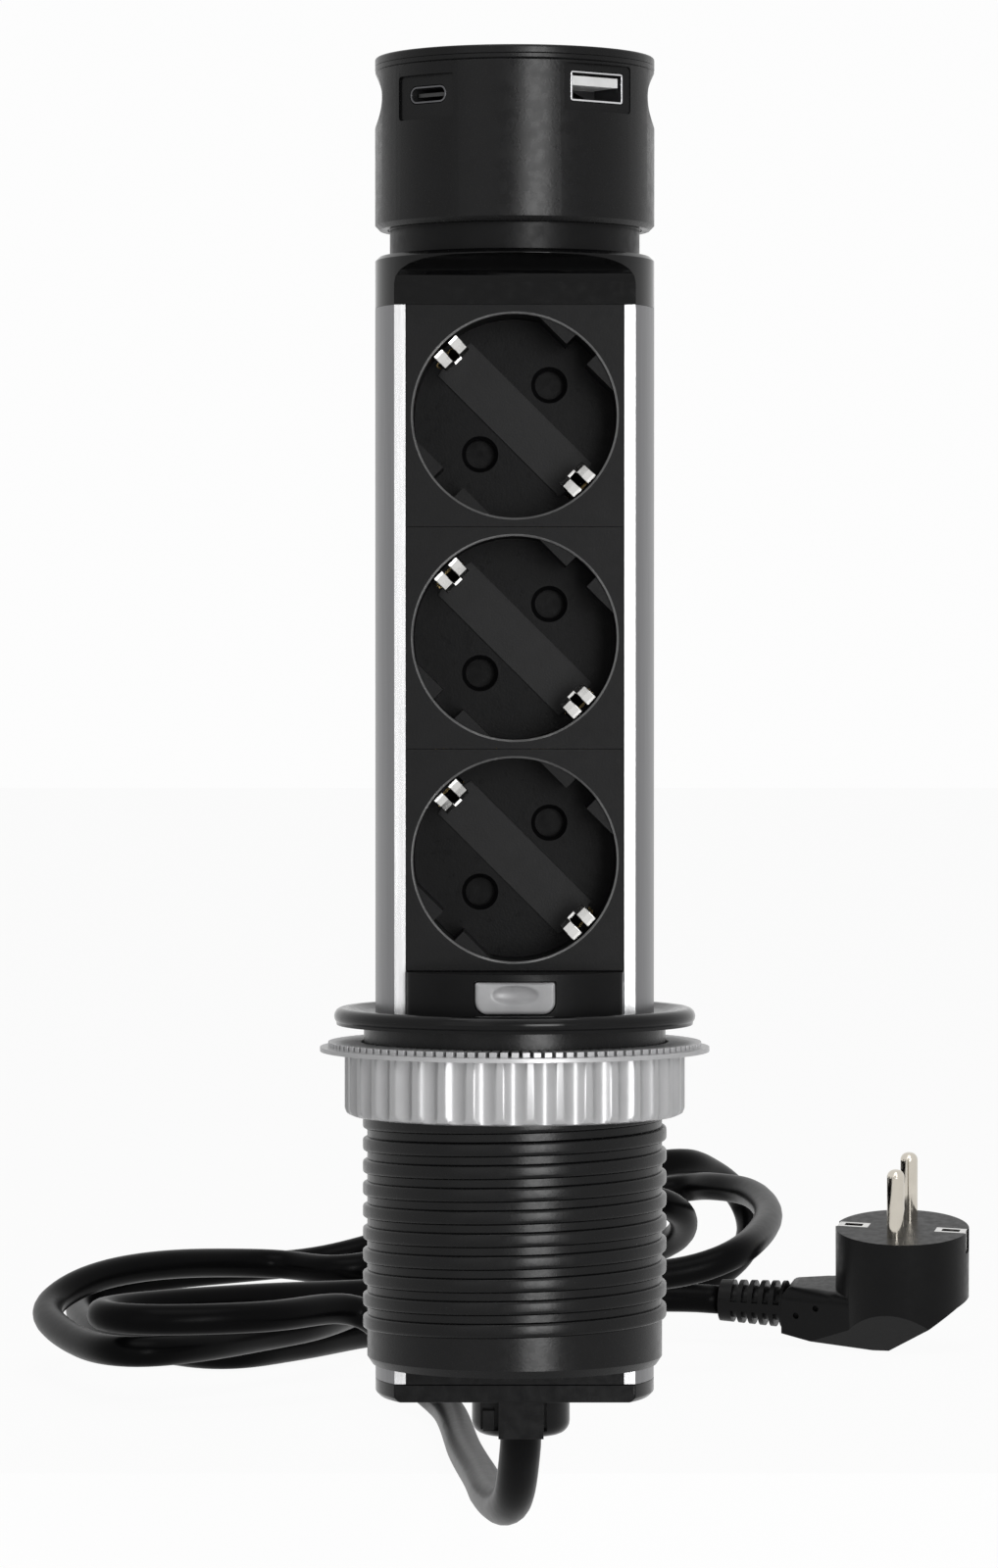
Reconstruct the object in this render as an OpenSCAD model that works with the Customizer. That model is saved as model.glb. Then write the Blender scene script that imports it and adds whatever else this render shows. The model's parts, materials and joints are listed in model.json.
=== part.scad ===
// Pop-up furniture socket: a tower with three earthed sockets and a USB head that rises out of a worktop.
// Origin: centre of the flange's underside, level with the worktop. +Z is up and the sockets face -Y.

/* [Tower] */
// Diameter of the rising tower, its caps and its head
tower_d = 54; // [53:0.25:54.5]
// Distance from the tower's axis to its flat front
face_y = 14; // [13.5:0.25:14.5]
// Wall of the aluminium profile
profile_wall = 1.4; // [1.2:0.1:1.5]
// Width of each bright lip beside the sockets
lip_w = 2.2; // [1.9:0.1:2.3]
// Thickness of each bright lip, front to back
lip_t = 1.6; // [1.2:0.1:2]
// How far the profile hangs below the worktop's surface when the tower is up
profile_drop = 68.4; // [67:0.2:75]
// Clearance between pieces that are pushed together
part_gap = 0.15; // [0.1:0.05:0.2]

/* [Sockets] */
// Height of a socket module beyond its recess cup
module_rim = 1.3; // [1.1:0.1:4]
// Height of the lowest module's lower edge above the worktop
socket_rise = 11; // [10.5:0.1:14]
// Diameter of the plug recess
recess_d = 39; // [38.6:0.1:39.1]
// Depth of the plug recess
recess_depth = 17.5; // [17:0.1:17.8]
// Wall of the recess cup
cup_wall = 1.1; // [0.9:0.05:1.15]
// Distance between the two pin holes
pin_spacing = 19; // [18.8:0.1:19.2]
// Diameter of a pin hole
pin_hole_d = 5.5; // [5.2:0.1:5.7]
// Diameter of a plug pin
pin_d = 4.8; // [4.7:0.05:4.9]
// Thickness of the recess floor
floor_t = 3; // [2.6:0.1:3.2]
// Thickness of a shutter
shutter_t = 1.6; // [1.2:0.1:1.8]
// Diameter of the spigot that a shutter turns on
spigot_d = 3.2; // [2.8:0.1:3.6]
// Width of an earth clip
clip_w = 6; // [5:0.2:6.4]
// Thickness of an earth clip
clip_t = 0.8; // [0.6:0.05:1]
// Distance from the recess's wall to the face of an earth clip
clip_inset = 2; // [1.9:0.05:2.2]
// Thickness of the busbars and the earth rails
bar_t = 1; // [0.8:0.05:1.1]

/* [Head] */
// Height of the glossy top cap
cap_h = 9.9; // [9:0.1:14]
// Diameter of the neck between the top cap and the head
neck_d = 48.3; // [46:0.1:50]
// Height of the neck
neck_h = 5.2; // [4.5:0.1:10]
// Height of the head's shell
head_h = 31.5; // [30.5:0.1:40]
// Wall of the head's shell
head_wall = 2.4; // [2.2:0.1:2.8]
// Thickness of the head's lid
lid_t = 1.7; // [1.4:0.1:3]
// Depth of the finger notches in the head's sides
notch_depth = 1.5; // [1:0.1:1.6]
// Height of the finger notches
notch_h = 11; // [9:0.5:12]
// Thickness of the charger's circuit board
board_t = 1.6; // [1.2:0.1:2]

/* [Worktop fixing] */
// Diameter of the flange
flange_d = 70; // [69:0.5:80]
// Thickness of the flange at its crest
flange_t = 3.3; // [3:0.1:3.6]
// Clearance on the radius between the tower and the sleeve
slide_gap = 0.4; // [0.35:0.05:0.5]
// Wall of the sleeve at the thread's root
sleeve_wall = 1.2; // [1.1:0.1:1.5]
// Height of the thread's ridge
thread_h = 0.9; // [0.7:0.1:1]
// Pitch of the thread
thread_pitch = 4.3; // [4:0.1:5]
// Length of the sleeve below the worktop's surface
sleeve_len = 65.7; // [64:0.1:66.5]
// Diameter of the thrust ring
ring_d = 75.5; // [74:0.5:85]
// Height of the thrust ring
ring_h = 1.9; // [1.6:0.1:3]
// Gap between the flange's underside and the thrust ring as shown
clamp_gap = 3.3; // [2.9:0.1:3.8]
// Number of ribs on the thrust ring
rib_count = 108; // [90:1:120]
// Diameter of the clamp nut's skirt
nut_d = 66; // [65:0.5:70]
// Height of the clamp nut's skirt
nut_h = 12.3; // [10:0.1:16]
// Number of flutes on the clamp nut
flute_count = 36; // [30:1:40]

/* [Foot] */
// Width of the release button
button_w = 15.2; // [14:0.1:16]
// Height of the button's top edge above the worktop
button_top = 9.4; // [9:0.1:9.6]
// Travel of the release button
button_travel = 2.5; // [2:0.1:3]
// Depth of the lower block below the worktop's surface
block_drop = 14; // [13:0.1:20]
// Thickness of the base cap
base_t = 3.5; // [3:0.1:5]
// Diameter of the cable gland
gland_d = 19; // [17:0.1:21]
// Height of the cable gland below the base cap
gland_h = 7.6; // [7:0.1:9]
// Diameter of the mains cord
cord_d = 8; // [7.6:0.1:8]

/* [Plug] */
// Diameter of the plug's face
plug_d = 37; // [36.4:0.1:37.4]
// Length of the plug's pins
pin_len = 19; // [18:0.1:19.5]
// Length of the plug's strain relief
relief_len = 19; // [18:0.5:21]

/* [Hidden] */
$fn = 96;

// Tower section
tower_r = tower_d / 2;
inner_r = tower_r - profile_wall;
recess_r = recess_d / 2;
front_half = sqrt(tower_r * tower_r - face_y * face_y);
open_half = front_half - lip_w;
insert_half = open_half - part_gap;
flange_front = face_y - lip_t - part_gap;
insert_flange_t = 1.6;
insert_flange_half = sqrt(inner_r * inner_r - flange_front * flange_front) - 2 * part_gap;
key_w = 3;
key_gap = 0.3;
groove_depth = 1.4;
groove_floor = tower_r - groove_depth;
key_boss_half = key_w / 2 + key_gap + profile_wall;
key_len = 10;
channel_r = 2.9;
channel_hole_r = 1.4;
channel_sink = 0.17;
channel_web = 3;
channel_clear = 0.3;

// Heights along the tower, measured up from the worktop's surface
socket_count = 3;
socket_pitch = recess_d + 2 * cup_wall + module_rim;
profile_top = socket_rise + socket_count * socket_pitch;
cap_top = profile_top + cap_h;
neck_top = cap_top + neck_h;
head_top = neck_top + head_h;

// Depths behind the tower's flat front, at each socket
plate_t = lip_t + part_gap + insert_flange_t;
plate_back = recess_depth + floor_t;
clip_span = recess_d - 2 * clip_inset;
clip_corner = (clip_span / 2 + clip_t + clip_w / 2) * cos(45);
channel_place = inner_r - channel_r + channel_sink;
channel_angle = acos((clip_corner + channel_clear + channel_r) / channel_place);
ledge_t = 1;
ledge_gap = 0.45;
ledge_r = clip_span / 2 + clip_t + ledge_gap;
shutter_gap = 0.3;
shutter_front = plate_back + shutter_gap;
shutter_back = shutter_front + shutter_t;
spring_wire = 0.6;
spring_gap = 0.2;
spring_front = shutter_back + spring_gap;
carrier_front = spring_front + spring_wire + spring_gap;
carrier_len = 11.8;
carrier_back = carrier_front + carrier_len;
jaw_wall = 1;
jaw_r = pin_d / 2 + jaw_wall;
jaw_gap = 0.3;
jaw_front = carrier_front + 1;
jaw_slit = 1;
jaw_x = pin_spacing / 2 * cos(45);
pocket_r = jaw_r + jaw_gap;
carrier_half_w = jaw_x + pocket_r + 1;
carrier_half_h = 16.5;
post_r = 1.5;
post_x = 7;
post_z = 14.8;
bar_half = 3.4;
bar_tail = 5;
bar_over = 0.5;
bar_tail_z = socket_rise - bar_tail;
rail_inner = carrier_half_w + 0.6;
rail_w = 4;
rail_front = carrier_back - 3;
rail_bridge_h = 5;
clip_tip = 3;
clip_slit = 2;
clip_slit_len = 9;
clip_clear = 0.4;
pin_hole_r = pin_hole_d / 2;
wing_r = pin_hole_r + 0.85;
hub_r = 4.4;
guide_in = 2.8;
guide_half = 2.75;

// Worktop fixing
bore_r = tower_r + slide_gap;
root_r = bore_r + sleeve_wall;
crest_r = root_r + thread_h;
collar_r = crest_r - 0.25;
collar_len = 5;
sleeve_bevel = 1.5;
thread_end = sleeve_len - 6;
thread_steps = 30;
thread_start = 2;
thread_fade = 10;
thread_gap = 0.02;
thread_foot = 0.34;
thread_tip = 0.24;
seat_depth = 1.2;
seat_gap = 0.05;
pad_t = slide_gap - 0.1;
pad_w = 8;
pad_len = 45;
nut_bore_r = crest_r + 0.3;
ring_base_t = 0.9;
ring_rim = 1.6;
flute_depth = 1;

// Foot
block_r = 3;
block_back = 6;
button_flat = tower_r - 0.8;
button_low = 3.3;
button_t = 6.2;
button_flange_t = 2;
spring_packed = 5.5;
pocket_floor = button_flat - button_t - button_travel - spring_packed;
dimple_r = 16;
dimple_half = 4.6;
button_flange_lap = 1.4;
button_gap = 0.2;
button_corner = 2.4;
button_mid = (button_low + button_top) / 2;
spring_r = 2.2;
spring_turns = 5;
dimple_depth = 0.6;
screw_r = 1.5;
screw_gap = 0.05;
screw_head_r = 2.7;
gland_spigot_r = 6;
gland_nut_h = 3;
gland_over = 0.4;
gland_bend = 30;
gland_x = 1.2;
pocket_depth = 6;
cord_gap = 0.1;
wire_d = 2.6;
wire_ring_r = 2.6;

// Plug
plug_at = [109, 486, -85.3];
plug_turn = [10, 2, -15];
plug_wall_h = 19;
plug_low = 33.9;
plug_corner = -2.9;
plug_low_half = 8;
relief_drop = 24.2;
relief_d = 13.2;
relief_start = 32.5;
relief_slots = 5;
pin_tip = 2;
pin_root = 8;
pin_root_r = pin_d / 2 - 0.2;
contact_w = 4.4;
contact_in = 9;
contact_drop = 6;
contact_t = 0.8;
mould_hole_r = 0.9;
mould_holes = [[-22.5, -8.3, -22], [-28.5, -6.3, -25]];

// Wires inside the tower
bar_y = carrier_back - face_y + bar_t / 2;
bar_top = socket_z(socket_count) + carrier_half_h + bar_over;
rail_y = rail_front - face_y + bar_t / 2;
rail_tail = 2;
wire_low = -profile_drop + gland_nut_h + gland_over;
wire_straight = 8;
wire_swing_z = -42;
wire_up_z = -24;
live_swing = [5.5, 8];
neutral_swing = [-4, 8];
earth_start_y = 3.4;
earth_swing = [0.5, 10];

// Charger's board and the ports on it
run_gap = 0.05;
board_low = head_top - 10.3;
board_top = board_low + board_t;
port_len = 10;
panel_plane = tower_r - 1.4;
c_h = 3.2;
a_h = 5.7;
// Each port: turn from +Y, width, height above the worktop, panel's width, height and rise, height, corner
port_c = [139.8, 8.94, board_top + c_h / 2, 13.9, 8.4, -0.5, c_h, 1.55];
port_a = [217.4, 12.5, board_top + a_h / 2, 16, 9, -0.2, a_h, 0.5];

// Cord's centreline between the straight ends at the gland and at the plug, in the order that the cord runs
route = [
    [0, 14, -93], [-2, 34, -98.5], [-5, 75, -102], [-7, 130, -106], [-11, 213, -111], [-16, 320, -115],
    [-26, 353, -110], [-38, 381, -97], [-63, 356, -96], [-92, 349, -96], [-106, 361, -96],
    [-97, 379, -96], [-65, 401, -96], [-39, 420, -97], [-8, 419, -95], [22, 424, -93.5], [47, 430, -92],
    [62, 437, -87], [72, 491, -83], [69, 535, -80], [58, 557, -80], [49, 570, -82], [9, 550, -87],
    [-41, 492, -97], [-66, 503, -97], [-95, 480, -95], [-115, 460, -97], [-125, 437, -103],
    [-114, 396, -106.5], [-99, 369, -106.5], [-82, 380, -106.5], [-65, 407, -106.5], [-50, 433, -106],
    [-32, 493, -105], [-13, 541, -105], [0, 573, -107], [24, 592, -111], [52, 596, -113],
    [66, 611, -109], [73, 625, -101], [71, 636, -91], [61, 616, -81], [46, 591, -76], [0, 578, -87],
    [-47, 548, -99], [-71, 554, -103], [-99, 546, -105], [-119, 553, -110], [-123, 533, -114],
    [-108, 477, -115], [-80, 436, -115], [-59, 456, -115], [-41, 487, -115], [-19, 518, -115],
    [7, 549, -108], [35, 549, -100], [49, 529, -91], [44, 503, -80], [14, 488, -75], [-13, 480, -81],
    [-26, 484, -92], [-13, 493, -102], [11, 501, -107], [34, 506, -107]
];
foot = -profile_drop - base_t - gland_h;
cord_start = [gland_x, -pocket_depth * sin(gland_bend), foot + pocket_depth * cos(gland_bend)];
cord_out = cord_start + cord_d * [0, sin(gland_bend), -cos(gland_bend)];
relief_end = [-relief_start - relief_len, 0, -relief_drop];
cord_end = plug_at + turned(relief_end, plug_turn);
cord_in = cord_end + cord_d * turned([-1, 0, 0], plug_turn);
line_steps = 2;
line = curve(concat([cord_start, cord_out], route, [cord_in, cord_end]), line_steps);
line_t = tangents(line);
line_n = carry(line_t, [1, 0, 0]);
lead_last = 7 * line_steps;
gap_samples = 6;
gap_skip = 24;

function unit(v) = v / norm(v);
function arc(cx, cy, r, from, to, steps) =
    [for (i = [0:steps]) let (a = from + (to - from) * i / steps) [cx + r * cos(a), cy + r * sin(a)]];
function turned(v, a) =
    let (y = v[1] * cos(a[0]) - v[2] * sin(a[0]), w = v[1] * sin(a[0]) + v[2] * cos(a[0]))
    let (x = v[0] * cos(a[1]) + w * sin(a[1]), z = w * cos(a[1]) - v[0] * sin(a[1]))
    [x * cos(a[2]) - y * sin(a[2]), x * sin(a[2]) + y * cos(a[2]), z];
function socket_z(i) = socket_rise + (i - 0.5) * socket_pitch;

// A circle of the tower's size with its front cut flat
module tower_outline(radius, front) {
    intersection() {
        circle(r = radius);
        translate([-radius, -front]) square([2 * radius, radius + front]);
    }
}

// Places children at socket i, where +Z runs into the tower, +X stays and +Y points down
module at_socket(i) translate([0, -face_y, socket_z(i)]) rotate([-90, 0, 0]) children();

// Turns a socket's frame so that its X runs along the pins, low at the left and high at the right
module along_pins() rotate([0, 0, -45]) children();

module flange_ring() color("#1c1c1e") rotate_extrude()
    polygon(concat(
        [[collar_r + seat_gap, 0], [flange_d / 2 - 0.5, 0]],
        arc(flange_d / 2 - flange_t / 2, flange_t / 2, flange_t / 2, -40, 90, 10),
        [[flange_d / 2 - 2.4, flange_t - 0.1]],
        [[flange_d / 2 - 4.5, flange_t - 1], [bore_r + 1, seat_depth + 0.4]],
        [[bore_r + 0.2, seat_depth + 0.1]],
        [[bore_r + 0.2, seat_depth], [collar_r + seat_gap, seat_depth]]
    ));

module threaded_sleeve() color("#19191b") difference() {
    union() {
        translate([0, 0, -collar_len]) cylinder(r = collar_r, h = collar_len + seat_depth);
        translate([0, 0, -sleeve_len + sleeve_bevel]) cylinder(r = root_r, h = sleeve_len - sleeve_bevel);
        translate([0, 0, -sleeve_len]) cylinder(r1 = root_r - 1, r2 = root_r, h = sleeve_bevel);
        intersection() {
            translate([-key_w / 2, tower_r - 1, -sleeve_len]) cube([key_w, sleeve_wall + 1, key_len]);
            translate([0, 0, -sleeve_len]) cylinder(r = bore_r + 0.3, h = key_len);
        }
    }
    difference() {
        translate([0, 0, -sleeve_len - 1]) cylinder(r = bore_r, h = sleeve_len + seat_depth + 2);
        translate([-key_w / 2, tower_r - 1, -sleeve_len - 2]) cube([key_w, sleeve_wall + 1, key_len + 2]);
    }
}

// Right-handed ridge that winds up the sleeve and fades out at both ends
module sleeve_thread() {
    turns = (thread_end - collar_len - thread_start) / thread_pitch;
    count = floor(turns * thread_steps);
    inner = (root_r + thread_gap) / cos(180 / thread_steps);
    low = inner + 0.1;
    function fade(k) = min(1, min(k, count - k) / thread_fade);
    points = [for (k = [0:count])
        let (a = k * 360 / thread_steps, z = -thread_end + k * thread_pitch / thread_steps)
        let (top = low + (crest_r - low) * fade(k))
        for (q = [[inner, thread_foot], [top, thread_tip], [top, -thread_tip], [inner, -thread_foot]])
            [q[0] * cos(a), q[0] * sin(a), z + q[1] * thread_pitch]];
    sides = [for (k = [0:count - 1]) for (j = [0:3])
        let (a = 4 * k + j, b = 4 * k + (j + 1) % 4)
        each [[a, b, a + 4], [b, b + 4, a + 4]]];
    first = [[2, 1, 0], [3, 2, 0]];
    last = [for (f = [[0, 1, 2], [0, 2, 3]]) [4 * count + f[0], 4 * count + f[1], 4 * count + f[2]]];
    color("#19191b") polyhedron(points, concat(sides, first, last));
}

// Thin strips between the sleeve and the tower
module glide_pads() color("#3a3a3c") for (a = [0, 60, 120, 180]) rotate([0, 0, a]) intersection() {
    translate([tower_r - 2, -pad_w / 2, -pad_len - collar_len]) cube([4, pad_w, pad_len]);
    translate([0, 0, -pad_len - collar_len]) difference() {
        cylinder(r = bore_r - 0.02, h = pad_len);
        translate([0, 0, -1]) cylinder(r = bore_r - pad_t, h = pad_len + 2);
    }
}

module thrust_ring() {
    step = 360 / rib_count;
    rib_r = ring_d / 2 - ring_rim;
    core_r = nut_bore_r - 0.5;
    slot_r = rib_r + 0.5;
    slot = [[core_r, 0.34], [slot_r, 0.34], [slot_r, 0.66], [core_r, 0.66]];
    slots = [for (k = [0:rib_count - 1]) for (q = slot)
        [q[0] * cos((k + q[1]) * step), q[0] * sin((k + q[1]) * step)]];
    color("#b9b9bb") translate([0, 0, -clamp_gap - ring_h]) difference() {
        rotate_extrude() polygon([[nut_bore_r, 0], [ring_d / 2, 0], [ring_d / 2, ring_base_t],
            [rib_r, ring_base_t], [rib_r, ring_h], [nut_bore_r, ring_h]]);
        translate([0, 0, ring_base_t]) linear_extrude(ring_h) polygon(slots);
    }
}

module clamp_nut() {
    nut_r = nut_d / 2;
    top = nut_h - run_gap;
    flute_r = 2.3;
    color("#aeaeb0") translate([0, 0, -clamp_gap - ring_h - nut_h]) difference() {
        rotate_extrude() polygon([[nut_bore_r, 0], [nut_r - 1.4, 0], [nut_r - 0.4, 0.5], [nut_r, 1.6],
            [nut_r, top], [nut_bore_r, top]]);
        for (k = [0:flute_count - 1]) rotate([0, 0, k * 360 / flute_count])
            translate([nut_r + flute_r - flute_depth, 0, -1]) cylinder(r = flute_r, h = nut_h + 2, $fn = 48);
    }
}

// Centres of the two screw channels in the profile
module at_channels() for (s = [-1, 1])
    translate([s * channel_place * cos(channel_angle), channel_place * sin(channel_angle)]) children();

module profile_section() difference() {
    union() {
        difference() {
            tower_outline(tower_r, face_y);
            tower_outline(inner_r, face_y - lip_t);
        }
        intersection() {
            circle(r = tower_r - 0.3);
            union() {
                at_channels() circle(r = channel_r);
                for (s = [channel_angle, 180 - channel_angle]) rotate([0, 0, s])
                    translate([channel_place, -channel_web / 2])
                        square([tower_r - channel_place, channel_web]);
                translate([-key_boss_half, groove_floor - profile_wall])
                    square([2 * key_boss_half, tower_r - groove_floor + profile_wall]);
            }
        }
    }
    at_channels() circle(r = channel_hole_r);
    translate([-key_w / 2 - key_gap, groove_floor]) square([key_w + 2 * key_gap, tower_r]);
    translate([-open_half, -tower_r]) square([2 * open_half, tower_r - face_y + lip_t + 1]);
}

module tower_profile() color("#a7a8aa") translate([0, 0, -profile_drop])
    linear_extrude(profile_drop + profile_top) profile_section();

module top_cap() {
    wall = 2.4;
    plate = 2.5;
    tab = [5, 3.8, 5];
    crease = 4.1;
    rim = 0.8;
    arch_top = cap_h - rim - 0.1;
    scoop = [for (t = [0:15:90]) [-face_y - (tower_r + 0.3 - face_y) * (1 - cos(t)),
        crease + (arch_top - crease) * sin(t)]];
    color("#0d0d0f") translate([0, 0, profile_top]) {
        difference() {
            rotate_extrude() polygon([[0, 0], [tower_r, 0], [tower_r, cap_h - rim], [tower_r - rim, cap_h],
                [0, cap_h]]);
            translate([0, 0, -1]) linear_extrude(cap_h - plate + 1)
                tower_outline(tower_r - wall, face_y - wall);
            translate([-tower_r - 1, 0, 0]) rotate([90, 0, 90]) linear_extrude(2 * tower_r + 2)
                polygon(concat([[-tower_r - 2, -1], [-face_y, -1]], scoop, [[-tower_r - 2, arch_top]]));
            cylinder(r = 8, h = cap_h + 1);
            at_head_screws() cylinder(r = screw_r + screw_gap, h = cap_h + 1);
        }
        for (s = [-1, 1]) intersection() {
            translate([s > 0 ? tower_r - 1 - tab[0] : 1 - tower_r, -tab[1] / 2, -tab[2]])
                cube([tab[0], tab[1], tab[2] + 2]);
            translate([0, 0, -tab[2]]) cylinder(r = inner_r - part_gap, h = tab[2] + 2);
        }
    }
}

module at_head_screws() for (a = [90, 210, 330]) rotate([0, 0, a]) translate([15, 0, 0]) children();

module at_board_posts() for (a = [30, 150, 270]) rotate([0, 0, a]) translate([17.5, 0, 0]) children();

module head_base() {
    floor_h = 3;
    collar_h = 6;
    wall = 2;
    sleeve_r = tower_r - head_wall - part_gap;
    color("#161618") translate([0, 0, cap_top]) {
        difference() {
            union() {
                cylinder(r = neck_d / 2, h = neck_h);
                translate([0, 0, neck_h]) cylinder(r = sleeve_r, h = collar_h);
            }
            translate([0, 0, floor_h]) cylinder(r = neck_d / 2 - wall, h = neck_h + collar_h);
            translate([0, 0, -1]) cylinder(r = 6, h = floor_h + 2);
            translate([0, 0, -1]) at_head_screws() cylinder(r = screw_r + screw_gap, h = floor_h);
        }
        translate([0, 0, floor_h - 1]) at_board_posts()
            cylinder(r = 2.2, h = board_low - cap_top - floor_h + 1);
    }
}

// Rounded window as wide as w and as high as h, cut along +Y from y = 0
module window(w, h, corner, depth) rotate([-90, 0, 0]) linear_extrude(depth) rounded_box(w, h, corner);

module rounded_box(w, h, corner) {
    square([w - 2 * corner, h], center = true);
    square([w, h - 2 * corner], center = true);
    for (x = [-1, 1], y = [-1, 1]) translate([x * (w / 2 - corner), y * (h / 2 - corner)])
        circle(r = corner, $fn = 32);
}

// Places children at a port: +Y outward from the tower's axis, origin on the axis at the port's height
module at_port(port) translate([0, 0, port[2]]) rotate([0, 0, port[0]]) children();

module head_shell() {
    bore = tower_r - head_wall;
    ledge_z = 6;
    bead_z = head_h - 0.9;
    notch_r = (notch_h * notch_h / 4 + notch_depth * notch_depth) / (2 * notch_depth);
    notch_z = head_h - 6.5;
    color("#1a1a1c") translate([0, 0, neck_top]) difference() {
        rotate_extrude() polygon([[bore, 0], [tower_r - 0.9, 0], [tower_r, 0.9],
            [tower_r, bead_z - 0.25], [tower_r - 0.25, bead_z], [tower_r, bead_z + 0.25],
            [tower_r, head_h], [bore, head_h], [bore, ledge_z + 1.2], [bore - 2, ledge_z + 1.2],
            [bore - 2, ledge_z], [bore, ledge_z]]);
        for (s = [-1, 1]) translate([s * (tower_r - notch_depth + notch_r), tower_r, notch_z])
            rotate([90, 0, 0]) cylinder(r = notch_r, h = 2 * tower_r);
        for (p = [port_c, port_a]) translate([0, 0, -neck_top]) at_port(p) {
            translate([0, panel_plane, p[5]]) window(p[3], p[4], 0.8, 5);
            translate([0, bore - 2, 0]) window(p[1] + 2 * part_gap, p[6] + 2 * part_gap, p[7] + part_gap, 8);
        }
    }
}

module head_lid() {
    rim = 0.5;
    plug_r = tower_r - head_wall - part_gap;
    color("#1e1e20") translate([0, 0, head_top]) rotate_extrude()
        polygon(concat([[0, -2], [plug_r, -2], [plug_r, 0], [tower_r, 0]],
            arc(tower_r - rim, lid_t - rim, rim, 0, 90, 5), [[0, lid_t]]));
}

// Screws that hold the head's base to the top cap, heads down inside the cap
module head_screws() color("#8f9092") translate([0, 0, cap_top - 2.5]) at_head_screws() {
    translate([0, 0, -1.6]) cylinder(r = screw_head_r, h = 1.6);
    cylinder(r = screw_r, h = 2.5 + 1.8);
}

// Metal shell of a port, open at the front and at the back
module port_shell(p) {
    wall = 0.35;
    at_port(p) translate([0, panel_plane - port_len, 0]) difference() {
        window(p[1], p[6], p[7], port_len);
        translate([0, -1, 0]) window(p[1] - 2 * wall, p[6] - 2 * wall, p[7] - wall, port_len + 2);
    }
}

module usb_c_port() color("#77787a") port_shell(port_c);
module usb_a_port() color("#b4b5b7") port_shell(port_a);

// Tongue of a port with the block behind it that fills the shell
module port_tongue(p, w, h, drop, setback) {
    wall = 0.45;
    block = 2;
    at_port(p) translate([0, panel_plane - port_len, 0]) {
        window(p[1] - 2 * wall, p[6] - 2 * wall, p[7] - wall, block);
        translate([-w / 2, block - 0.5, drop - h / 2]) cube([w, port_len - block - setback + 0.5, h]);
    }
}

module usb_c_tongue() color("#2a2a2c") port_tongue(port_c, 6.7, 0.7, 0, 1.2);
module usb_a_tongue() color("#d9dadc") port_tongue(port_a, 11, 1.8, 1.1, 0.6);

module charger_board() color("#1f4d3a") translate([0, 0, board_low]) difference() {
    cylinder(r = 21, h = board_t);
    translate([0, 18, -1]) cylinder(r = 2.5, h = board_t + 2);
}

// Transformer and capacitors below the board and a coil on top of it
module charger_parts() color("#6b6b3a") {
    translate([-12, 3, board_low - 9.5]) cube([15, 12, 9.5]);
    for (x = [-9, 9]) translate([x, -7, board_low - 9]) cylinder(r = 4, h = 9);
    translate([9, 8, board_low - 6]) cylinder(r = 3.5, h = 6);
    translate([0, 6, board_low + board_t]) cylinder(r = 3.5, h = 4);
}

module socket_insert(i) {
    half_h = socket_pitch / 2 - 0.05;
    bevel = 0.4;
    color("#232325") at_socket(i) {
        difference() {
            union() {
                translate([-insert_half, -half_h, 0]) cube([2 * insert_half, 2 * half_h, plate_t]);
                translate([-insert_flange_half, -half_h, lip_t + part_gap])
                    cube([2 * insert_flange_half, 2 * half_h, insert_flange_t]);
                cylinder(r = recess_r + cup_wall, h = plate_back + ledge_t);
            }
            translate([0, 0, -1]) cylinder(r = recess_r, h = plate_back + 1);
            cylinder(r = ledge_r, h = plate_back + ledge_t + 1);
            translate([0, 0, -0.01]) cylinder(r1 = recess_r + bevel, r2 = recess_r, h = bevel);
        }
        along_pins() for (u = [-1, 1], v = [-1, 1]) intersection() {
            translate([u > 0 ? recess_r - guide_in : -recess_r - 0.3, v > 0 ? guide_half : -recess_r, 1])
                cube([guide_in + 0.3, recess_r - guide_half, recess_depth - 1.1]);
            cylinder(r = recess_r + 0.3, h = plate_back);
        }
    }
}

module socket_insert_1() socket_insert(1);
module socket_insert_2() socket_insert(2);
module socket_insert_3() socket_insert(3);

// Floor of a recess: two pin holes, a raised band between the earth clips and a slot for each clip
module pin_plate(i) {
    band_w = 9;
    band_h = 0.7;
    sink = 0.8;
    slot_in = clip_span / 2 - clip_clear;
    color("#1b1b1d") at_socket(i) along_pins() difference() {
        union() {
            translate([0, 0, recess_depth]) cylinder(r = recess_r - 0.05, h = floor_t);
            intersection() {
                translate([-band_w / 2, -recess_r, recess_depth - band_h])
                    cube([band_w, 2 * recess_r, band_h + 0.5]);
                translate([0, 0, recess_depth - band_h]) cylinder(r = slot_in, h = 2);
            }
        }
        for (s = [-1, 1]) {
            translate([s * pin_spacing / 2, 0, 0]) cylinder(r = pin_hole_r, h = plate_back + 1);
            translate([s * pin_spacing / 2, 0, recess_depth - 0.01])
                cylinder(r1 = pin_hole_r + sink, r2 = pin_hole_r, h = sink);
            translate([-clip_w / 2 - clip_clear, s > 0 ? slot_in : -recess_r - 1, recess_depth - 1])
                cube([clip_w + 2 * clip_clear, recess_r + 1 - slot_in, floor_t + 2]);
        }
    }
}

module pin_plate_1() pin_plate(1);
module pin_plate_2() pin_plate(2);
module pin_plate_3() pin_plate(3);

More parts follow.
